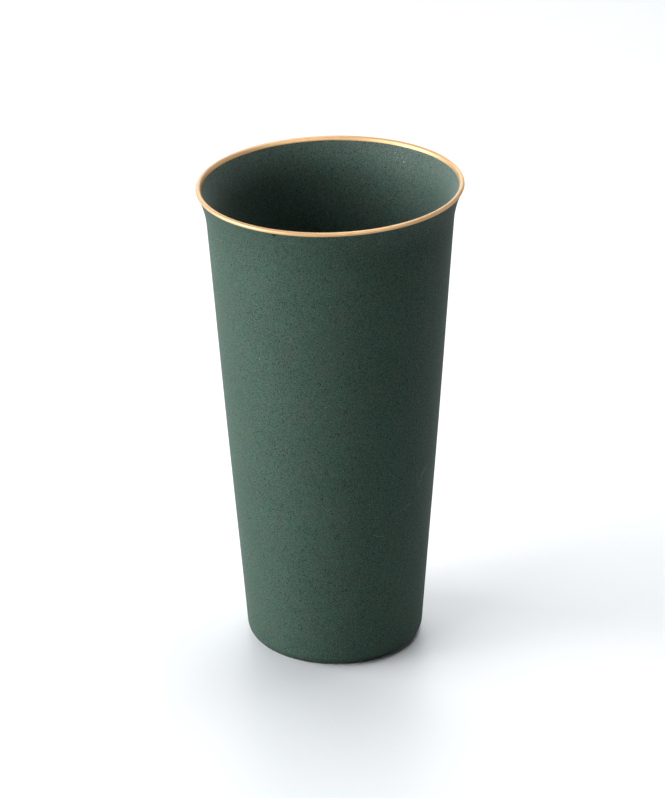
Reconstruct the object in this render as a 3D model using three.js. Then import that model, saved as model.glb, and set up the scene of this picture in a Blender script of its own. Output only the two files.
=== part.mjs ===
// Tall tapered tumbler: a thin fired-clay vessel with a flared lip, glazed matt green inside and out,
// with a gold line laid over the lip. Millimetres, +Z up, origin on the table under the axis.
import * as THREE from "three";

// Finished outside of the vessel
const HEIGHT = 140; // table to the top of the gold line
const RIM_DIAMETER = 75; // across the gold line
const NECK_DIAMETER = 69.3; // across the wall where the flare begins
const BASE_DIAMETER = 50.8; // across the wall line where it would reach the table
const FLARE_HEIGHT = 10.9; // from the start of the flare to the top
const BELLY = 0.18; // outward bow of the wall at half height
const HEEL_RADIUS = 4; // round between the wall and the foot

// Thicknesses, glaze to glaze
const WALL_AT_HEEL = 2.4;
const WALL_AT_NECK = 1.5;
const FLOOR_THICKNESS = 3.4;
const LIP_RADIUS = 0.65; // round of the lip, over the gold

// Inside
const INNER_HEEL_RADIUS = 8; // round between the floor and the wall

// Foot
const FOOT_RECESS = 1.6; // table to the bare ceiling under the foot
const FOOT_WIDTH = 2.8; // flat ring that stands on the table
const FOOT_FILLET = 0.8; // round between the ring and the ceiling
const GLAZE_LINE = 62; // degrees round the heel, below level, where the outer glaze stops
const RECESS_MARGIN = 1.2; // bare clay between the ceiling's glaze and the ring's round

// Coats
const GLAZE_THICKNESS = 0.22;
const GOLD_THICKNESS = 0.12;
const GOLD_OUTSIDE = 0.2; // run of the gold down the outside, below the round of the lip
const GOLD_INSIDE = 0.75; // run of the gold down the inside, below the round of the lip

// Facets: round the axis, and along each stretch of the section
const SEGMENTS = 52;
const WALL_STEPS = 6;
const FLARE_STEPS = 4;
const HEEL_STEPS = 4;
const FOOT_STEPS = 2;
const LIP_STEPS = 3;
const GOLD_STEPS = 1;

// Half-section: x is the distance from the axis, y the height above the table
const { lerp, degToRad } = THREE.MathUtils;
const at = (x, y) => new THREE.Vector2(x, y);
const bearing = (angle) => at(Math.cos(angle), Math.sin(angle));
const shift = (point, direction, distance) => point.clone().addScaledVector(direction, distance);
const spread = (count, make) => Array.from({ length: count + 1 }, (_, i) => make(i / count));

// A skin is a run of stations on a finished surface: a point, and the unit normal that leaves it
const round = (centre, radius, from, to, count) =>
  spread(count, (t) => {
    const normal = bearing(lerp(from, to, t));
    return { point: shift(centre, normal, radius), normal };
  });

const hollow = (centre, radius, from, to, count) =>
  round(centre, radius, from, to, count).map(({ point, normal }) => ({
    point,
    normal: normal.negate(),
  }));

const bowed = (start, end, outward, side, count) =>
  spread(count, (t) => ({
    point: shift(start.clone().lerp(end, t), outward, BELLY * Math.sin(Math.PI * t) ** 2),
    normal: outward.clone().multiplyScalar(side),
  }));

const along = (curve, from, to, count) =>
  spread(count, (t) => {
    const run = lerp(from, to, t);
    const tangent = curve.getTangentAt(run);
    return { point: curve.getPointAt(run), normal: at(tangent.y, -tangent.x), run };
  });

const joined = (...runs) => runs.reduce((skin, run) => [...skin, ...run.slice(1)]);
const raised = (skin, height) => skin.map(({ point, normal }) => shift(point, normal, height));

// Centre of a round that touches a leaning wall from the axis side, at a given height
const againstWall = (onWall, lean, radius, height) =>
  at(onWall.x + ((height - onWall.y) * Math.sin(lean) - radius) / Math.cos(lean), height);

// Outside: heel and wall
const base = at(BASE_DIAMETER / 2, 0);
const neck = at(NECK_DIAMETER / 2, HEIGHT - FLARE_HEIGHT);
const lean = Math.atan2(neck.x - base.x, neck.y - base.y);
const outward = bearing(-lean);
const heelCentre = againstWall(base, lean, HEEL_RADIUS, HEEL_RADIUS - GLAZE_THICKNESS);
const glazeLine = -degToRad(GLAZE_LINE);
const bareHeel = round(heelCentre, HEEL_RADIUS, -Math.PI / 2, glazeLine, FOOT_STEPS);
const glazedHeel = round(heelCentre, HEEL_RADIUS, glazeLine, -lean, HEEL_STEPS);
const wallFoot = shift(heelCentre, outward, HEEL_RADIUS);
const wall = bowed(wallFoot, neck, outward, 1, WALL_STEPS);

// Lip: the flare leaves the wall line and runs tangent into the glazed round under the gold
const glazedLip = LIP_RADIUS - GOLD_THICKNESS;
const lipCentre = at(RIM_DIAMETER / 2 - LIP_RADIUS, HEIGHT - LIP_RADIUS);
const bend = shift(neck, at(Math.tan(lean), 1), (lipCentre.y - neck.y) / 2);
const reach = lipCentre.clone().sub(bend);
const lipLean = Math.atan2(reach.x, reach.y) + Math.asin(glazedLip / reach.length());
const flareEnd = shift(lipCentre, bearing(-lipLean), glazedLip);
const flareCurve = new THREE.QuadraticBezierCurve(neck, bend, flareEnd);
const goldOutsideFrom = 1 - GOLD_OUTSIDE / flareCurve.getLength();
const flare = along(flareCurve, 0, goldOutsideFrom, FLARE_STEPS);
const goldFlare = along(flareCurve, goldOutsideFrom, 1, GOLD_STEPS);
const outerCrown = round(lipCentre, glazedLip, -lipLean, Math.PI / 2, LIP_STEPS);
const innerCrown = round(lipCentre, glazedLip, Math.PI / 2, Math.PI - lipLean, LIP_STEPS);

// Inside: the flare set in by its local thickness, then the wall, the inner heel and the floor
const setIn = (skin) =>
  skin.map(({ point, normal, run }) => ({
    point: shift(point, normal, -lerp(WALL_AT_NECK, 2 * glazedLip, run)),
    normal: normal.clone().negate(),
  }));
const goldInsideFrom = 1 - GOLD_INSIDE / flareCurve.getLength();
const innerGoldFlare = setIn(along(flareCurve, 1, goldInsideFrom, GOLD_STEPS));
const innerFlare = setIn(along(flareCurve, goldInsideFrom, 0, FLARE_STEPS));
const floor = FOOT_RECESS - GLAZE_THICKNESS + FLOOR_THICKNESS;
const innerFoot = shift(wallFoot, outward, -WALL_AT_HEEL);
const innerNeck = innerFlare.at(-1).point;
const innerLean = Math.atan2(innerNeck.x - innerFoot.x, innerNeck.y - innerFoot.y);
const innerOutward = bearing(-innerLean);
const innerHeelCentre = againstWall(
  innerFoot,
  innerLean,
  INNER_HEEL_RADIUS,
  floor + INNER_HEEL_RADIUS,
);
const innerWallFoot = shift(innerHeelCentre, innerOutward, INNER_HEEL_RADIUS);
const innerWall = bowed(innerNeck, innerWallFoot, innerOutward, -1, WALL_STEPS);
const innerHeel = hollow(innerHeelCentre, INNER_HEEL_RADIUS, -innerLean, -Math.PI / 2, HEEL_STEPS);
const floorCentre = { point: at(0, floor), normal: at(0, 1) };

// Glazed skins, and the stretch of them that the gold covers
const outerSkin = joined(glazedHeel, wall, flare, goldFlare, outerCrown);
const innerSkin = [...joined(innerCrown, innerGoldFlare, innerFlare, innerWall, innerHeel), floorCentre];
const gildedSkin = joined(goldFlare, outerCrown, innerCrown, innerGoldFlare);

// Foot: a flat ring with a filleted recess inside it
const ringInside = heelCentre.x - FOOT_WIDTH;
const footFilletCentre = at(ringInside - FOOT_FILLET, FOOT_RECESS - FOOT_FILLET);
const footFillet = hollow(footFilletCentre, FOOT_FILLET, Math.PI / 2, 0, FOOT_STEPS);
const footOutline = [at(0, FOOT_RECESS), ...raised(footFillet, 0), at(ringInside, 0)];

// Closed outlines of the pieces
const coat = (skin, thickness, lift) => {
  const outline = [...raised(skin, lift), ...raised(skin, lift - thickness).reverse()];
  return [...outline, outline[0]];
};
const claySkin = joined(bareHeel, outerSkin, innerSkin);
const clayOutline = [...footOutline, ...raised(claySkin, -GLAZE_THICKNESS)];
const outerGlazeOutline = coat(outerSkin, GLAZE_THICKNESS, 0);
const innerGlazeOutline = [...raised(innerSkin, -GLAZE_THICKNESS).reverse(), ...raised(innerSkin, 0)];
const goldOutline = coat(gildedSkin, GOLD_THICKNESS, GOLD_THICKNESS);

const recessGlazeFace = FOOT_RECESS - GLAZE_THICKNESS;
const recessGlazeEdge = footFilletCentre.x - RECESS_MARGIN;
const recessGlazeOutline = [
  at(0, recessGlazeFace),
  at(recessGlazeEdge - GLAZE_THICKNESS, recessGlazeFace),
  at(recessGlazeEdge, FOOT_RECESS),
  at(0, FOOT_RECESS),
];

// Finishes
const clay = new THREE.MeshStandardMaterial({ name: "clay", color: 0xb9a58c, roughness: 0.9 });
const greenGlaze = new THREE.MeshStandardMaterial({
  name: "green_glaze",
  color: 0x4a6257,
  roughness: 0.6,
});
const gold = new THREE.MeshStandardMaterial({
  name: "gold",
  color: 0xe0b880,
  roughness: 0.3,
  metalness: 1,
});

// Pieces, turned about the upright axis
const tumbler = new THREE.Group();
tumbler.name = "tumbler";

const turn = (name, outline, material) => {
  const geometry = new THREE.LatheGeometry(outline, SEGMENTS);
  geometry.rotateX(Math.PI / 2);
  const piece = new THREE.Mesh(geometry, material);
  piece.name = name;
  tumbler.add(piece);
};

turn("clay_body", clayOutline, clay);
turn("outer_glaze", outerGlazeOutline, greenGlaze);
turn("inner_glaze", innerGlazeOutline, greenGlaze);
turn("foot_recess_glaze", recessGlazeOutline, greenGlaze);
turn("gold_rim", goldOutline, gold);

export default tumbler;
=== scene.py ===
"""A tall tapered ceramic tumbler with a speckled matt green glaze and a gold line over its lip."""
import cmath
import math

import bpy
from bpy.props import FloatProperty, FloatVectorProperty, IntProperty, PointerProperty
from mathutils import Matrix, Vector


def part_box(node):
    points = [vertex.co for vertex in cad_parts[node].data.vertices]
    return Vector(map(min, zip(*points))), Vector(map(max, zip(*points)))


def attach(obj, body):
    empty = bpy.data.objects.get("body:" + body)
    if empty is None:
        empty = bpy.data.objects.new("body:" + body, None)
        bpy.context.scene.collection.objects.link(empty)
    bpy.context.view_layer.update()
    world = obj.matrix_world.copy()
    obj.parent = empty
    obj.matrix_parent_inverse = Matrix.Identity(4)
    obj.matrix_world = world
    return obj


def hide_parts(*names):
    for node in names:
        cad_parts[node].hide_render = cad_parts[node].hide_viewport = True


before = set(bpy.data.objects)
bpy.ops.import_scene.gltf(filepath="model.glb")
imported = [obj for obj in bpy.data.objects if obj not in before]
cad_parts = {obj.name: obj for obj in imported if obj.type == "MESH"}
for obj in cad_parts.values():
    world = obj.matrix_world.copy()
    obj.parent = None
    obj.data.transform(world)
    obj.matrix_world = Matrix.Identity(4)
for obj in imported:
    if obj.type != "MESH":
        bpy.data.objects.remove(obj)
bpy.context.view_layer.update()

bl_info = {
    "name": "Speckled tumbler",
    "version": (1, 0, 0),
    "blender": (4, 5, 0),
    "location": "View3D > Sidebar > Tumbler",
    "description": "Builds a glazed tumbler with a gold line over its lip, and the studio that shows it",
    "category": "Add Mesh",
}

GOLD_LOW, GOLD_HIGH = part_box("gold_rim")
BODY = "root"
MM = 0.001


# Settings that a user would change

def length(name, description, default):
    """A size in metres."""
    return FloatProperty(name=name, description=description, default=default, unit="LENGTH", precision=5)


def angle(name, description, degrees):
    """An angle, given in degrees."""
    return FloatProperty(
        name=name, description=description, default=math.radians(degrees), subtype="ANGLE"
    )


def colour(name, description, default):
    """A linear colour."""
    return FloatVectorProperty(
        name=name, description=description, default=default, subtype="COLOR", min=0, max=1
    )


def factor(name, description, default):
    """A share from 0 to 1."""
    return FloatProperty(
        name=name, description=description, default=default, min=0, max=1, subtype="FACTOR"
    )


def power(name, description, default):
    """A lamp's power in watts."""
    return FloatProperty(name=name, description=description, default=default, min=0, unit="POWER")


class VesselSizes(bpy.types.PropertyGroup):
    """Sizes of the vessel and its coats"""

    height: length("Height", "Table to the top of the gold line", GOLD_HIGH.z)
    rim_diameter: length("Rim diameter", "Across the gold line", GOLD_HIGH.x - GOLD_LOW.x)
    neck_diameter: length("Neck diameter", "Across the wall where the flare begins", 69.3 * MM)
    base_diameter: length("Base diameter", "Across the wall line where it reaches the table", 50.8 * MM)
    flare_height: length("Flare height", "From the start of the flare to the top", 10.9 * MM)
    belly: length("Belly", "Outward bow of the wall at half height", 0.18 * MM)
    heel_radius: length("Heel radius", "Round between the wall and the foot", 4 * MM)
    wall_at_heel: length("Wall at the heel", "Glaze to glaze", 2.4 * MM)
    wall_at_neck: length("Wall at the neck", "Glaze to glaze", 1.5 * MM)
    floor_thickness: length("Floor thickness", "Glaze to glaze", 3.4 * MM)
    lip_radius: length("Lip radius", "Round of the lip, over the gold", 0.65 * MM)
    inner_heel_radius: length("Inner heel radius", "Round between the floor and the wall", 8 * MM)
    foot_recess: length("Foot recess", "Table to the bare ceiling under the foot", 1.6 * MM)
    foot_width: length("Foot width", "Flat ring that stands on the table", 2.8 * MM)
    foot_fillet: length("Foot fillet", "Round between the ring and the ceiling", 0.8 * MM)
    glaze_line: angle("Glaze line", "Round the heel, below level, where the outer glaze stops", 62)
    glaze_line_waver: angle("Glaze line waver", "How far the glaze line strays round the heel", 4)
    recess_margin: length("Recess margin", "Bare clay between the ceiling's glaze and the ring", 1.2 * MM)
    recess_waver: length("Recess waver", "How far the edge of the ceiling's glaze strays", 0.35 * MM)
    glaze_thickness: length("Glaze thickness", "Thickness of the glaze coats", 0.22 * MM)
    gold_thickness: length("Gold thickness", "Thickness of the gold line", 0.12 * MM)
    gold_outside: length("Gold outside", "Run of the gold below the lip's round, outside", 0.2 * MM)
    gold_inside: length("Gold inside", "Run of the gold below the lip's round, inside", 0.75 * MM)
    gold_waver: length("Gold waver", "How far the brushed edges of the gold stray", 0.03 * MM)
    rim_tilt: angle("Rim tilt", "Lean of the rim from level, left by the firing", 0.9)
    rim_tilt_towards: angle("Rim tilt towards", "Azimuth of the rim's high side", 19)
    pinhole_drop: length("Pinhole drop", "Top of the lip to the pinhole in the outer glaze", 1.5 * MM)
    pinhole_azimuth: angle("Pinhole azimuth", "Where the pinhole is, round the axis", 245.7)
    segments: IntProperty(
        name="Segments", description="Faces round the axis", default=288, min=48, max=720
    )


class VesselColours(bpy.types.PropertyGroup):
    """Colours and gloss of the clay, the glaze and the gold"""

    glaze: colour("Glaze", "Grey-green of the glaze outside", (0.0347, 0.0652, 0.0492))
    # Painted light: the same glaze as outside, painted paler inside to stand in for light that the lamps
    # don't give there
    glaze_inside_painted_lighter: colour("Glaze inside", "Paler grey-green of the glaze inside", (0.0505, 0.0865, 0.0715))
    # Painted shade: darker glaze under the lip, where the flare faces down and gets less light
    lip_outside_painted_shade: colour("Glaze under the lip", "Where it gathers under the lip", (0.030, 0.056, 0.0424))
    # Painted sheen: paler, greyer glaze inside the lip that stands in for a grey sheen of light there
    lip_inside_painted_sheen: colour("Glaze in the lip", "Where it runs thin inside the lip", (0.0755, 0.112, 0.0965))
    # Painted shade: the glaze is darker towards the foot, where it meets the table
    heel: colour("Glaze at the heel", "Where it gathers above the foot", (0.0146, 0.0274, 0.0207))
    speck: colour("Speck", "Dark grains in the glaze", (0.007, 0.012, 0.010))
    grain: factor("Grain", "Contrast of the fine grain in the glaze", 0.98)
    stain: factor("Stain", "Strength of the faint rusty and blue clouds in the glaze", 0.6)
    wear: factor("Wear", "Strength of the scratches in the glaze outside", 0.32)
    glaze_roughness: factor("Glaze roughness", "Roughness of the matt glaze", 0.6)
    gold: colour("Gold", "Metal of the line on the lip", (0.51, 0.318, 0.154))
    gold_roughness: factor("Gold roughness", "Roughness of the fired gold", 0.45)
    clay: colour("Clay", "Bare fired clay of the foot ring", (0.42, 0.34, 0.26))


class StudioSettings(bpy.types.PropertyGroup):
    """Camera, floor and lamps"""

    lens: FloatProperty(
        name="Lens", description="Focal length", default=157.9, min=1, subtype="DISTANCE_CAMERA"
    )
    distance: length("Distance", "Camera to the point that it looks at", 1.0024)
    elevation: angle("Elevation", "Camera above the horizon", 24.694)
    roll: angle("Roll", "Camera turned about its line of sight", -0.681)
    aim_height: length("Aim height", "Height of the point that the camera looks at", 73.65 * MM)
    floor: colour("Floor", "Pale floor", (0.762, 0.79, 0.816))
    left_lamp: power("Left lamp", "Soft lamp near the vessel on the left", 3.6)
    window: power("Window", "Wide low light far out on the left", 32.0)
    top_lamp: power("Top lamp", "Soft lamp close above the mouth", 2.95)
    corner_lamp: power("Corner lamp", "Low lamp behind on the left", 1.8)
    back_wall: power("Back wall", "Wide light that stands for a white wall behind", 32.0)
    right_wall: power("Right wall", "Wide light that stands for a white wall on the right", 5.0)
    front_lamp: power("Front lamp", "Wide weak light in front on the left", 2.75)
    gold_lamp: power("Gold lamp", "Wide light in front on the right, on the gold alone", 22.0)


# Half-section of the vessel

def spread(count, start=0.0, end=1.0):
    """Evenly spaced numbers, both ends included."""
    return [start + (end - start) * i / count for i in range(count + 1)]


def lean_of(direction):
    """Angle of a direction from upright."""
    return math.atan2(direction.real, direction.imag)


def against_wall(on_wall, lean, radius, height):
    """Centre, at that height, of a round that touches a leaning wall from the axis side."""
    rise = (height - on_wall.imag) * math.sin(lean)
    return complex(on_wall.real + (rise - radius) / math.cos(lean), height)


def arc(centre, radius, start, end, count, side=1):
    """A skin along a round. With side -1 the round is a hollow."""
    turns = [cmath.rect(1, turn) for turn in spread(count, start, end)]
    return [(centre + radius * turn, side * turn) for turn in turns]


def bowed(start, end, outward, belly, count, side=1):
    """A skin along a wall that bows outward at half height."""
    return [
        (start + (end - start) * t + outward * belly * math.sin(math.pi * t) ** 2, side * outward)
        for t in spread(count)
    ]


def raised(skin, height):
    """The points of a skin, lifted along its normals."""
    return [point + height * normal for point, normal in skin]


def level_with(skin, height):
    """The point of a skin that is nearest to that height."""
    return min(raised(skin, 0), key=lambda point: abs(point.imag - height))


def joined(*skins):
    """Skins that follow each other, with each shared end once."""
    return skins[0] + [station for skin in skins[1:] for station in skin[1:]]


class Section:
    """The vessel's half-section. A point is a complex number: distance from the axis, then height.
    A skin is a list of (point, normal) along a finished glaze surface."""

    # Steps along each stretch of the meshes, and the fine ones in which the place of a mark is sought
    WALL_STEPS = 36
    FLARE_STEPS = 20
    GOLD_STEPS = 5
    HEEL_STEPS = 14
    LIP_STEPS = 10
    PATCH_EDGE_STEPS = 6
    FINE_STEPS = 400

    def __init__(self, sizes):
        self.sizes = sizes
        base = complex(sizes.base_diameter / 2, 0)
        self.neck = complex(sizes.neck_diameter / 2, sizes.height - sizes.flare_height)
        self.lean = lean_of(self.neck - base)
        self.outward = cmath.rect(1, -self.lean)
        heel_height = sizes.heel_radius - sizes.glaze_thickness
        self.heel_centre = against_wall(base, self.lean, sizes.heel_radius, heel_height)
        self.wall_foot = self.heel_centre + sizes.heel_radius * self.outward

        self.glazed_lip = sizes.lip_radius - sizes.gold_thickness
        self.lip = complex(sizes.rim_diameter / 2 - sizes.lip_radius, sizes.height - sizes.lip_radius)
        self.bend = self.neck + complex(math.tan(self.lean), 1) * (self.lip - self.neck).imag / 2
        reach = self.lip - self.bend
        if abs(reach) <= self.glazed_lip:
            raise ValueError("The flare is too short for its lip")
        self.lip_lean = lean_of(reach) + math.asin(self.glazed_lip / abs(reach))
        self.flare_end = self.lip + self.glazed_lip * cmath.rect(1, -self.lip_lean)
        self.floor = sizes.foot_recess - sizes.glaze_thickness + sizes.floor_thickness
        if self.recess_edge() <= 2 * sizes.recess_waver:
            raise ValueError("The base is too narrow for its foot ring and recess")

    def heel(self, start, end):
        """The round at the foot, between two angles below level."""
        return arc(self.heel_centre, self.sizes.heel_radius, -start, -end, self.HEEL_STEPS)

    def wall(self, count):
        """The outside of the wall, from the heel to the neck."""
        return bowed(self.wall_foot, self.neck, self.outward, self.sizes.belly, count)

    def flare(self, start, end, count):
        """The outside of the flare, between two shares of its curve."""
        skin = []
        for t in spread(count, start, end):
            point = self.neck * (1 - t) ** 2 + 2 * self.bend * t * (1 - t) + self.flare_end * t**2
            tangent = (self.bend - self.neck) * (1 - t) + (self.flare_end - self.bend) * t
            skin.append((point, -1j * tangent / abs(tangent)))
        return skin

    def outside_at(self, height):
        """The point on the outside of the wall or the flare at about that height."""
        return level_with(self.wall(self.FINE_STEPS) + self.flare(0, 1, self.FINE_STEPS), height)

    def inner_flare(self, start, end, count):
        """The inside of the flare: the outside set in by the wall, which thins towards the lip."""
        thick, thin = self.sizes.wall_at_neck, 2 * self.glazed_lip
        return [
            (point - normal * (thick + (thin - thick) * t), -normal)
            for (point, normal), t in zip(self.flare(start, end, count), spread(count, start, end))
        ]

    def inside_at(self, height):
        """The point on the inside of the flare at about that height."""
        return level_with(self.inner_flare(0, 1, self.FINE_STEPS), height)

    def crown(self, start, end):
        """The round of the lip, between two angles above level."""
        return arc(self.lip, self.glazed_lip, start, end, self.LIP_STEPS)

    def outer(self, glaze_line):
        """The outer glaze, from the glaze line up to the crown of the lip."""
        return joined(
            self.heel(glaze_line, self.lean),
            self.wall(self.WALL_STEPS),
            self.flare(0, 1, self.FLARE_STEPS),
            self.crown(-self.lip_lean, math.pi / 2),
        )

    def inner(self):
        """The inner glaze, from the crown of the lip down to the middle of the floor."""
        sizes = self.sizes
        flare = self.inner_flare(1, 0, self.FLARE_STEPS)
        neck = flare[-1][0]
        foot = self.wall_foot - sizes.wall_at_heel * self.outward
        lean = lean_of(neck - foot)
        outward = cmath.rect(1, -lean)
        radius = sizes.inner_heel_radius
        centre = against_wall(foot, lean, radius, self.floor + radius)
        wall_foot = centre + radius * outward
        return joined(
            self.crown(math.pi / 2, math.pi - self.lip_lean),
            flare,
            bowed(neck, wall_foot, outward, sizes.belly, self.WALL_STEPS, side=-1),
            arc(centre, radius, -lean, -math.pi / 2, self.HEEL_STEPS, side=-1),
        ) + [(complex(0, self.floor), 1j)]

    def gilded(self, outside, inside):
        """The glaze under the gold, for runs of gold of those lengths below the lip's round."""
        speed = 2 * abs(self.flare_end - self.bend)
        return joined(
            self.flare(1 - outside / speed, 1, self.GOLD_STEPS),
            self.crown(-self.lip_lean, math.pi / 2),
            self.crown(math.pi / 2, math.pi - self.lip_lean),
            self.inner_flare(1, 1 - inside / speed, self.GOLD_STEPS),
        )

    def foot(self):
        """The recess and the ring, from the middle of the recess out to the flat of the ring."""
        sizes = self.sizes
        inside = self.heel_centre.real - sizes.foot_width
        centre = complex(inside - sizes.foot_fillet, sizes.foot_recess - sizes.foot_fillet)
        fillet = arc(centre, sizes.foot_fillet, math.pi / 2, 0, self.HEEL_STEPS)
        return [complex(0, sizes.foot_recess), *raised(fillet, 0), complex(inside, 0)]

    def recess_edge(self):
        """Radius of the glaze patch in the recess."""
        sizes = self.sizes
        return self.heel_centre.real - sizes.foot_width - sizes.foot_fillet - sizes.recess_margin

    def recess_patch(self, edge):
        """Outline of the glaze patch in the recess, out to that radius."""
        thickness, ceiling = self.sizes.glaze_thickness, self.sizes.foot_recess
        centre = complex(edge - thickness, ceiling)
        round_edge = arc(centre, thickness, -math.pi / 2, 0, self.PATCH_EDGE_STEPS)
        return [complex(0, ceiling - thickness), *raised(round_edge, 0), complex(0, ceiling)]


# Turned meshes

# Waves in the edges of the coats: the counts of them round the axis, and a phase in radians
GLAZE_LINE_WAVES = ((2, 5, 9), 1.3)
RECESS_WAVES = ((2, 3, 7), 0.7)
GOLD_OUTSIDE_WAVES = ((3, 7, 16), 0.9)
GOLD_INSIDE_WAVES = ((2, 5, 13), 2.1)
# Faces that meet at more than this are shaded with a crisp edge
CRISP_ANGLE = math.radians(40)


def waver(azimuth, waves):
    """A smooth unevenness round the axis, mostly within -1 and 1."""
    turns, phase = waves
    return sum(math.sin(n * azimuth + phase * n * n) for n in turns) / math.sqrt(len(turns))


def tilted(place, sizes):
    """A place on the vessel, with the rim a little out of level and the foot level."""
    towards = sizes.rim_tilt_towards
    run = place.x * math.cos(towards) + place.y * math.sin(towards)
    return place + Vector((0, 0, run * math.tan(sizes.rim_tilt) * (place.z / sizes.height) ** 2))


def at_azimuth(point, azimuth, sizes):
    """Where a point of the half-section lies on the vessel."""
    across = cmath.rect(point.real, azimuth)
    return tilted(Vector((across.real, across.imag, point.imag)), sizes)


def mark_place(point, azimuth, sizes):
    """Where a mark at a point of the half-section lies on the vessel, in millimetres."""
    return at_azimuth(point, azimuth, sizes) / MM


def turned(name, outline_at, sizes, closed):
    """A mesh turned about the upright axis. outline_at gives the outline at an azimuth: it runs up the
    outside, and closes on itself or starts and ends on the axis."""
    count = sizes.segments
    azimuths = [2 * math.pi * i / count for i in range(count)]
    outlines = [outline_at(azimuth) for azimuth in azimuths]
    rows = len(outlines[0])
    places, number = [], {}
    for i, (azimuth, outline) in enumerate(zip(azimuths, outlines)):
        for j, point in enumerate(outline):
            key = (0 if point.real == 0 else i, j)
            if key not in number:
                number[key] = len(places)
                places.append(at_azimuth(point, azimuth, sizes))
            number[i, j] = number[key]
    faces = []
    for i in range(count):
        for j in range(rows if closed else rows - 1):
            corners = [(i, j), (i + 1, j), (i + 1, j + 1), (i, j + 1)]
            face = list(dict.fromkeys(number[a % count, b % rows] for a, b in corners))
            if len(face) > 2:
                faces.append(face)
    mesh = bpy.data.meshes.new(name)
    mesh.from_pydata(places, [], faces)
    if mesh.validate():
        raise ValueError(f"The sizes leave broken faces on {name}")
    mesh.shade_smooth()
    mesh.set_sharp_from_angle(angle=CRISP_ANGLE)
    return mesh


def coat(skin, thickness):
    """Closed outline of a coat that lies under a finished skin."""
    return raised(skin, 0) + raised(skin, -thickness)[::-1]


def add_piece(name, outline_at, finish, node, closed=False):
    """Turns a piece, gives it its finish and lets it stand for its solid."""
    mesh = turned(name, outline_at, bpy.context.scene.vessel_sizes, closed)
    mesh.materials.append(finish)
    piece = bpy.data.objects.new(name, mesh)
    bpy.context.scene.collection.objects.link(piece)
    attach(piece, BODY)
    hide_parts(node)
    return piece


# Finishes

# How the clouds and the pale grain change the glaze's red, green and blue
RUSTY = (1.45, 0.98, 1.02)
BLUISH = (0.88, 1.05, 1.1)
PALE = (2.15, 2.0, 2.05)
# Colours of a glint or a scratch in the glaze, and of the dark grit in the clay
GLINT = (0.4, 0.43, 0.41)
GRIT = (0.08, 0.06, 0.045)

# The middle value of a noise
MIDDLE = 0.5
# How far each layer of the glaze shows
FINE_CONTRAST = 2.8
COARSE_CONTRAST = 0.25
CLOUD_CONTRAST = 0.15
DARK_GRAIN_STRENGTH = 1.3
PEPPER_STRENGTH = 0.55
SPECK_STRENGTH = 0.9
GLINT_STRENGTH = 0.5
PALE_SPECK_STRENGTH = 0.6
# The clouds' noise is rusty this far above the middle and bluish this far below, and gains at this slope
STAIN_EDGE = 0.02
STAIN_SLOPE = 4

# Where a tone of the glaze begins, as a drop from the top or a height, and the run in which it takes
# over, down if that is negative, in millimetres
# Painted shade under the lip outside
LIP_OUTSIDE_SHADE_DROP, LIP_OUTSIDE_SHADE_RUN = 17, 10
# Painted sheen inside the lip
LIP_INSIDE_SHEEN_DROP, LIP_INSIDE_SHEEN_RUN = 9.5, 9
# Painted shade at the heel
HEEL_SHADE_START, HEEL_SHADE_RUN = 3, -2.2

# Scratches outside: a width in millimetres, then the places that it joins, each an azimuth in degrees
# and a height in millimetres
SCRATCHES = (
    (0.3, (333, 58.4), (327, 56.7)),
    (0.26, (326.5, 55.3), (324, 53.7)),
    (0.2, (318, 49.7), (313.5, 48.7)),
    (0.15, (292.5, 43.3), (295.5, 42.3), (300, 42)),
)
# Pale specks inside the lip: an azimuth in degrees, then a drop from the top and a radius in millimetres
PALE_SPECKS = ((52, 4.9, 0.24), (56, 4.2, 0.17), (56, 3.3, 0.17), (53.5, 3.8, 0.18), (57.5, 3, 0.16))


class Value:
    """A number that varies over a surface. Arithmetic on it adds Math nodes."""

    def __init__(self, paint, socket):
        self.paint = paint
        self.socket = socket

    def math(self, operation, *values):
        """The outcome of a Math node on these values."""
        return self.paint.node("ShaderNodeMath", {"operation": operation}, dict(enumerate(values)))

    def __add__(self, other):
        return self.math("ADD", self, other)

    def __radd__(self, other):
        return self.math("ADD", other, self)

    def __sub__(self, other):
        return self.math("SUBTRACT", self, other)

    def __rsub__(self, other):
        return self.math("SUBTRACT", other, self)

    def __mul__(self, other):
        return self.math("MULTIPLY", self, other)

    def __rmul__(self, other):
        return self.math("MULTIPLY", other, self)

    def __truediv__(self, other):
        return self.math("DIVIDE", self, other)

    def __rtruediv__(self, other):
        return self.math("DIVIDE", other, self)

    def clamped(self):
        """The value, held between 0 and 1."""
        return self.paint.node("ShaderNodeClamp", {}, {"Value": self})


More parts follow.
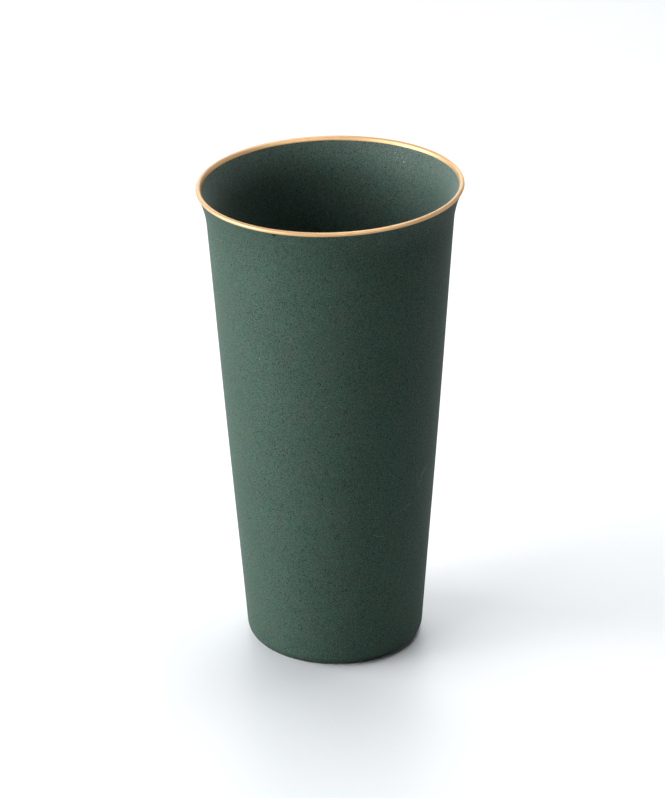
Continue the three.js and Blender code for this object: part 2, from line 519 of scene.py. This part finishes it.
class Paint:
    """A material in the making."""

    def __init__(self, name):
        self.material = bpy.data.materials.new(name)
        self.material.use_nodes = True
        self.tree = self.material.node_tree
        self.shader = self.tree.nodes["Principled BSDF"]

    def node(self, kind, settings, inputs, output=0):
        """Adds a node, with its settings and then its inputs set, and returns one of its outputs."""
        made = self.tree.nodes.new(kind)
        for key, setting in settings.items():
            setattr(made, key, setting)
        self.fill(made, inputs)
        return Value(self, made.outputs[output])

    def fill(self, made, inputs):
        """Sets or links a node's inputs."""
        for key, given in inputs.items():
            if isinstance(given, Value):
                self.tree.links.new(given.socket, made.inputs[key])
            else:
                made.inputs[key].default_value = given

    def surface(self, inputs):
        """Sets or links the shader's inputs."""
        self.fill(self.shader, inputs)

    def millimetres(self):
        """Place on the object, in millimetres."""
        return self.scaled(self.node("ShaderNodeTexCoord", {}, {}, "Object"), 1 / MM)

    def height(self, place):
        """Height of a place above the table."""
        return self.node("ShaderNodeSeparateXYZ", {}, {"Vector": place}, "Z")

    def noise(self, place, size, detail=2.0, roughness=0.5):
        """Cloudy noise with features of about that size."""
        inputs = {"Vector": place, "Scale": 1 / size, "Detail": detail, "Roughness": roughness}
        return self.node("ShaderNodeTexNoise", {}, inputs, "Fac")

    def specks(self, place, spacing, smallest, largest, soft):
        """Scattered round grains: 1 inside, 0 outside. A cell whose own size is negative has none."""
        settings = {"feature": "F1", "distance": "EUCLIDEAN"}
        inputs = {"Vector": place, "Scale": 1 / spacing, "Randomness": 1.0}
        made = self.node("ShaderNodeTexVoronoi", settings, inputs, "Distance")
        cell = Value(self, made.socket.node.outputs["Color"])
        chance = self.node("ShaderNodeSeparateColor", {}, {"Color": cell}, "Red")
        radius = smallest + (largest - smallest) * chance
        return ((radius - made * spacing) / soft).clamped()

    def vector(self, operation, first, second, output="Vector"):
        """The outcome of a Vector Math node on two vectors."""
        return self.node("ShaderNodeVectorMath", {"operation": operation}, {0: first, 1: second}, output)

    def scaled(self, vector, times):
        """A vector multiplied by a number."""
        return self.node("ShaderNodeVectorMath", {"operation": "SCALE"}, {0: vector, "Scale": times})

    def spot(self, place, centre, radius, soft):
        """A single round spot: 1 inside, 0 outside."""
        distance = self.vector("DISTANCE", place, centre, "Value")
        return ((radius - distance) / soft).clamped()

    def scratch(self, place, start, end, width, soft):
        """A thin straight mark between two places: 1 inside, 0 outside."""
        run = end - start
        offset = self.vector("SUBTRACT", place, start)
        share = self.vector("DOT_PRODUCT", offset, run / run.length_squared, "Value").clamped()
        distance = self.vector("DISTANCE", offset, self.scaled(run, share), "Value")
        return ((width / 2 - distance) / soft).clamped()

    def mix(self, share, first, second):
        """A blend of two colours."""
        # Of the Mix node's sockets, inputs 0, 6 and 7 and output 2 are those for colours
        shades = {0: share, 6: first, 7: second}
        return self.node("ShaderNodeMix", {"data_type": "RGBA"}, shades, 2)

    def bump(self, height, depth, strength=1.0):
        """A normal from a height, whose full range is that depth in metres."""
        return self.node(
            "ShaderNodeBump", {}, {"Height": height, "Distance": depth, "Strength": strength}
        )


def solid(shade):
    """A colour with full alpha."""
    return (*shade, 1)


def tinted(shade, lift):
    """A colour with each of its parts multiplied."""
    return solid([part * times for part, times in zip(shade, lift)])


def green_glaze(
    name, colours, body, bands, grain_share, sheen, pinholes=(), scratches=(), pale_specks=()
):
    """Matt grey-green glaze: fine pale and dark grain, scattered specks, faint rusty and blue clouds.
    A band is a tone that takes over from a height, within a run up or down. All is in millimetres."""
    paint = Paint(name)
    place = paint.millimetres()
    grain = paint.noise(place, size=0.3, detail=1)
    coarse = paint.noise(place, size=1, detail=2)
    stains = paint.noise(place, size=5.5, detail=3)
    clouds = paint.noise(place, size=12, detail=1)
    specks = paint.specks(place, spacing=1.6, smallest=-0.35, largest=0.32, soft=0.1)
    pepper = paint.specks(place, spacing=0.8, smallest=-0.22, largest=0.18, soft=0.06)
    glints = paint.specks(place, spacing=5, smallest=-0.9, largest=0.2, soft=0.06)
    height = paint.height(place)
    fine = (grain - MIDDLE) * FINE_CONTRAST
    flecks = fine + (coarse - MIDDLE) * COARSE_CONTRAST + (clouds - MIDDLE) * CLOUD_CONTRAST
    flecks = flecks * (colours.grain * grain_share)
    rust = ((stains - (MIDDLE + STAIN_EDGE)) * STAIN_SLOPE).clamped()
    blue = ((MIDDLE - STAIN_EDGE - stains) * STAIN_SLOPE).clamped()
    dark, glint = solid(colours.speck), solid(GLINT)

    shade = solid(body)
    # The bands are painted light: shade under the lip and at the heel outside, sheen inside the lip
    for tone, start, run in bands:
        shade = paint.mix(((height - start) / run).clamped(), shade, solid(tone))
    shade = paint.mix(rust * colours.stain, shade, tinted(body, RUSTY))
    shade = paint.mix(blue * colours.stain, shade, tinted(body, BLUISH))
    shade = paint.mix(flecks.clamped(), shade, tinted(body, PALE))
    shade = paint.mix((flecks * -DARK_GRAIN_STRENGTH).clamped(), shade, dark)
    shade = paint.mix(pepper * PEPPER_STRENGTH, shade, dark)
    shade = paint.mix(specks * SPECK_STRENGTH, shade, dark)
    for centre in pinholes:
        shade = paint.mix(paint.spot(place, centre, radius=0.62, soft=0.1), shade, dark)
    shade = paint.mix(glints * GLINT_STRENGTH, shade, glint)
    for width, start, end in scratches:
        mark = paint.scratch(place, start, end, width, soft=0.08)
        shade = paint.mix(mark * grain * (colours.wear / MIDDLE), shade, glint)
    for centre, radius in pale_specks:
        mark = paint.spot(place, centre, radius, soft=0.1)
        shade = paint.mix(mark * PALE_SPECK_STRENGTH, shade, glint)
    paint.surface(
        {
            "Base Color": shade,
            "Roughness": colours.glaze_roughness + 0.12 * (coarse - MIDDLE),
            "Normal": paint.bump(grain - specks, depth=0.02 * MM, strength=0.6),
            "Specular IOR Level": 0.1,
            "Sheen Weight": sheen,
        }
    )
    return paint.material


def fired_gold(colours):
    """Satin gold, brushed on by hand and fired."""
    paint = Paint("fired_gold")
    place = paint.millimetres()
    streaks = paint.noise(place, size=1.6, detail=3)
    thin = tinted(colours.gold, (0.9, 0.9, 0.9))
    paint.surface(
        {
            "Base Color": paint.mix(streaks, solid(colours.gold), thin),
            "Metallic": 0.6,
            "Roughness": colours.gold_roughness + 0.2 * (streaks - MIDDLE),
            "Normal": paint.bump(streaks, depth=0.006 * MM, strength=0.5),
        }
    )
    return paint.material


def bare_clay(colours):
    """Dry fired clay with a sandy grain."""
    paint = Paint("bare_clay")
    place = paint.millimetres()
    grain = paint.noise(place, size=0.35, detail=4, roughness=0.6)
    grit = paint.specks(place, spacing=1.8, smallest=-0.3, largest=0.3, soft=0.1)
    hollows = tinted(colours.clay, (0.72, 0.72, 0.72))
    shade = paint.mix(grain, hollows, solid(colours.clay))
    paint.surface(
        {
            "Base Color": paint.mix(grit * 0.7, shade, solid(GRIT)),
            "Roughness": 0.8 + 0.15 * grain,
            "Normal": paint.bump(grain, depth=0.06 * MM),
        }
    )
    return paint.material


def pale_floor(colours):
    """Plain white floor with a satin finish."""
    paint = Paint("pale_floor")
    paint.surface({"Base Color": solid(colours.floor), "Roughness": 0.46, "Specular IOR Level": 0.9})
    return paint.material


# Operators

class TUMBLER_OT_clay_body(bpy.types.Operator):
    """Turn the fired clay vessel, with its foot ring and recess"""

    bl_idname = "tumbler.clay_body"
    bl_label = "Clay body"

    def execute(self, context):
        sizes = context.scene.vessel_sizes
        section = Section(sizes)
        skin = joined(section.outer(math.pi / 2), section.inner())
        outline = section.foot() + raised(skin, -sizes.glaze_thickness)
        finish = bare_clay(context.scene.vessel_colours)
        add_piece("clay_vessel", lambda azimuth: outline, finish, node="clay_body")
        return {"FINISHED"}


class TUMBLER_OT_glaze(bpy.types.Operator):
    """Lay the green glaze outside, inside and in the recess under the foot"""

    bl_idname = "tumbler.glaze"
    bl_label = "Green glaze"

    def execute(self, context):
        sizes = context.scene.vessel_sizes
        colours = context.scene.vessel_colours
        section = Section(sizes)
        top = sizes.height / MM
        pinhole = section.outside_at(sizes.height - sizes.pinhole_drop)
        outside = green_glaze(
            "green_glaze",
            colours,
            body=colours.glaze,
            bands=[
                # Painted shade under the lip
                (colours.lip_outside_painted_shade, top - LIP_OUTSIDE_SHADE_DROP, LIP_OUTSIDE_SHADE_RUN),
                # Painted shade at the heel
                (colours.heel, HEEL_SHADE_START, HEEL_SHADE_RUN),
            ],
            grain_share=0.9,
            sheen=0,
            pinholes=[mark_place(pinhole, sizes.pinhole_azimuth, sizes)],
            scratches=self.scratches(section),
        )
        inside = green_glaze(
            "green_glaze_inside",
            colours,
            # Painted light: a paler copy of the outside glaze
            body=colours.glaze_inside_painted_lighter,
            # Painted sheen inside the lip
            bands=[(colours.lip_inside_painted_sheen, top - LIP_INSIDE_SHEEN_DROP, LIP_INSIDE_SHEEN_RUN)],
            grain_share=0.85,
            sheen=0.12,
            pale_specks=self.pale_specks(section),
        )
        inner = section.inner()
        inner_outline = raised(inner, -sizes.glaze_thickness)[::-1] + raised(inner, 0)

        def outer_outline(azimuth):
            line = sizes.glaze_line + sizes.glaze_line_waver * waver(azimuth, GLAZE_LINE_WAVES)
            return coat(section.outer(line), sizes.glaze_thickness)

        def patch_outline(azimuth):
            edge = section.recess_edge() + sizes.recess_waver * waver(azimuth, RECESS_WAVES)
            return section.recess_patch(edge)

        add_piece("outer_glaze_coat", outer_outline, outside, node="outer_glaze", closed=True)
        add_piece("inner_glaze_coat", lambda azimuth: inner_outline, inside, node="inner_glaze")
        add_piece("foot_glaze_patch", patch_outline, outside, node="foot_recess_glaze")
        return {"FINISHED"}

    def scratches(self, section):
        """The straight stretches of the scratches: each a width, a start and an end."""
        stretches = []
        for width, *run in SCRATCHES:
            places = [
                mark_place(section.outside_at(height * MM), math.radians(azimuth), section.sizes)
                for azimuth, height in run
            ]
            stretches += [(width, start, end) for start, end in zip(places, places[1:])]
        return stretches

    def pale_specks(self, section):
        """The pale specks: each a place and a radius."""
        specks = []
        for azimuth, drop, radius in PALE_SPECKS:
            point = section.inside_at(section.sizes.height - drop * MM)
            specks.append((mark_place(point, math.radians(azimuth), section.sizes), radius))
        return specks


class TUMBLER_OT_gold_line(bpy.types.Operator):
    """Brush the gold line over the lip"""

    bl_idname = "tumbler.gold_line"
    bl_label = "Gold line"

    # Least run below the lip's round, and how far the gold sinks into the glaze
    LEAST_RUN = 0.02 * MM
    BEDDING = 0.02 * MM
    # The gold swells to its full thickness in this many steps from its edge, and starts part of a step in
    SWELL_STEPS = 3
    SWELL_START = 0.4

    def execute(self, context):
        sizes = context.scene.vessel_sizes
        section = Section(sizes)

        def outline(azimuth):
            outside = sizes.gold_outside + sizes.gold_waver * waver(azimuth, GOLD_OUTSIDE_WAVES)
            inside = sizes.gold_inside + sizes.gold_waver * waver(azimuth, GOLD_INSIDE_WAVES)
            skin = section.gilded(max(outside, self.LEAST_RUN), inside)
            last = len(skin) - 1
            top = []
            for i, (point, normal) in enumerate(skin):
                swell = (min(i, last - i) + self.SWELL_START) / self.SWELL_STEPS
                top.append(point + normal * sizes.gold_thickness * min(1.0, swell))
            return top + raised(skin, -self.BEDDING)[::-1]

        finish = fired_gold(context.scene.vessel_colours)
        add_piece("gold_lip_line", outline, finish, node="gold_rim", closed=True)
        return {"FINISHED"}


class TUMBLER_OT_stage(bpy.types.Operator):
    """Set the floor, the lamps and the camera"""

    bl_idname = "tumbler.stage"
    bl_label = "Studio"

    # Half the floor's side, and the height of the point that the lamps face, in metres
    FLOOR_HALF = 6.0
    LAMP_AIM = 0.1
    # Each lamp's azimuth, counted from the camera's side round by the right, and elevation, in degrees,
    # then its distance from that point, and its width and height, in metres
    LAMPS = {
        "left_lamp": (302, 23, 0.7, (0.55, 0.35)),
        "window": (273, 13, 1.5, (1.2, 0.7)),
        "top_lamp": (138, 74, 0.6, (0.4, 0.4)),
        "corner_lamp": (216, 22, 1.0, (0.5, 0.5)),
        "back_wall": (180, 17, 2.5, (2.6, 1.3)),
        "right_wall": (110, 14, 2.0, (1.4, 0.9)),
        "front_lamp": (315, 20, 2.0, (1.1, 1.0)),
        "gold_lamp": (22, 27, 1.5, (2.2, 0.5)),
    }

    def execute(self, context):
        studio = context.scene.studio
        self.floor(studio)
        self.camera(context.scene, studio)
        for name, place in self.LAMPS.items():
            self.softbox(name, *place, getattr(studio, name))
        self.light_alone(bpy.data.objects["gold_lamp"], bpy.data.objects["gold_lip_line"])
        world = bpy.data.worlds.new("studio")
        world.use_nodes = True
        world.node_tree.nodes["Background"].inputs["Strength"].default_value = 0
        context.scene.world = world
        context.scene.view_settings.view_transform = "Standard"
        return {"FINISHED"}

    def floor(self, studio):
        """A wide level floor at the foot ring."""
        half = self.FLOOR_HALF
        mesh = bpy.data.meshes.new("floor")
        corners = [(-half, -half, 0), (half, -half, 0), (half, half, 0), (-half, half, 0)]
        mesh.from_pydata(corners, [], [(0, 1, 2, 3)])
        mesh.materials.append(pale_floor(studio))
        floor = bpy.data.objects.new("floor", mesh)
        bpy.context.scene.collection.objects.link(floor)

    def camera(self, scene, studio):
        """A long lens that looks down on the vessel from the front."""
        data = bpy.data.cameras.new("camera")
        data.lens = studio.lens
        camera = bpy.data.objects.new("camera", data)
        scene.collection.objects.link(camera)
        back = Vector((0, -math.cos(studio.elevation), math.sin(studio.elevation)))
        turn = (-back).to_track_quat("-Z", "Y").to_matrix().to_4x4()
        place = Vector((0, 0, studio.aim_height)) + studio.distance * back
        camera.matrix_world = Matrix.Translation(place) @ turn @ Matrix.Rotation(studio.roll, 4, "Z")
        scene.camera = camera

    def softbox(self, name, azimuth, elevation, distance, size, watts):
        """A rectangular soft lamp that faces the vessel."""
        data = bpy.data.lights.new(name, "AREA")
        data.shape = "RECTANGLE"
        data.size, data.size_y = size
        data.energy = watts
        lamp = bpy.data.objects.new(name, data)
        lamp.visible_camera = False
        bpy.context.scene.collection.objects.link(lamp)
        around, above = math.radians(azimuth), math.radians(elevation)
        level = math.cos(above)
        out = Vector((math.sin(around) * level, -math.cos(around) * level, math.sin(above)))
        turn = (-out).to_track_quat("-Z", "Y").to_matrix().to_4x4()
        place = Vector((0, 0, self.LAMP_AIM)) + distance * out
        lamp.matrix_world = Matrix.Translation(place) @ turn

    def light_alone(self, lamp, piece):
        """Keeps a lamp off everything but one piece."""
        lit = bpy.data.collections.new(f"lit_by_{lamp.name}")
        lit.objects.link(piece)
        lamp.light_linking.receiver_collection = lit


class TUMBLER_PT_panel(bpy.types.Panel):
    """The tumbler's pieces and settings"""

    bl_idname = "TUMBLER_PT_panel"
    bl_label = "Tumbler"
    bl_space_type = "VIEW_3D"
    bl_region_type = "UI"
    bl_category = "Tumbler"

    def draw(self, context):
        for step in STEPS:
            self.layout.operator(step.bl_idname)
        for group in GROUPS:
            box = self.layout.box()
            settings = getattr(context.scene, group)
            for key in settings.__annotations__:
                box.prop(settings, key)


STEPS = (TUMBLER_OT_clay_body, TUMBLER_OT_glaze, TUMBLER_OT_gold_line, TUMBLER_OT_stage)
GROUPS = {"vessel_sizes": VesselSizes, "vessel_colours": VesselColours, "studio": StudioSettings}
CLASSES = (*GROUPS.values(), *STEPS, TUMBLER_PT_panel)


def register():
    """Adds the classes, and the settings to each scene."""
    for made in CLASSES:
        bpy.utils.register_class(made)
    for name, group in GROUPS.items():
        setattr(bpy.types.Scene, name, PointerProperty(type=group))


def unregister():
    """Takes the settings and the classes away again."""
    for name in GROUPS:
        delattr(bpy.types.Scene, name)
    for made in reversed(CLASSES):
        bpy.utils.unregister_class(made)


def main():
    """Builds the tumbler and its studio."""
    register()
    bpy.ops.tumbler.clay_body()
    bpy.ops.tumbler.glaze()
    bpy.ops.tumbler.gold_line()
    bpy.ops.tumbler.stage()


if __name__ == "__main__":
    main()
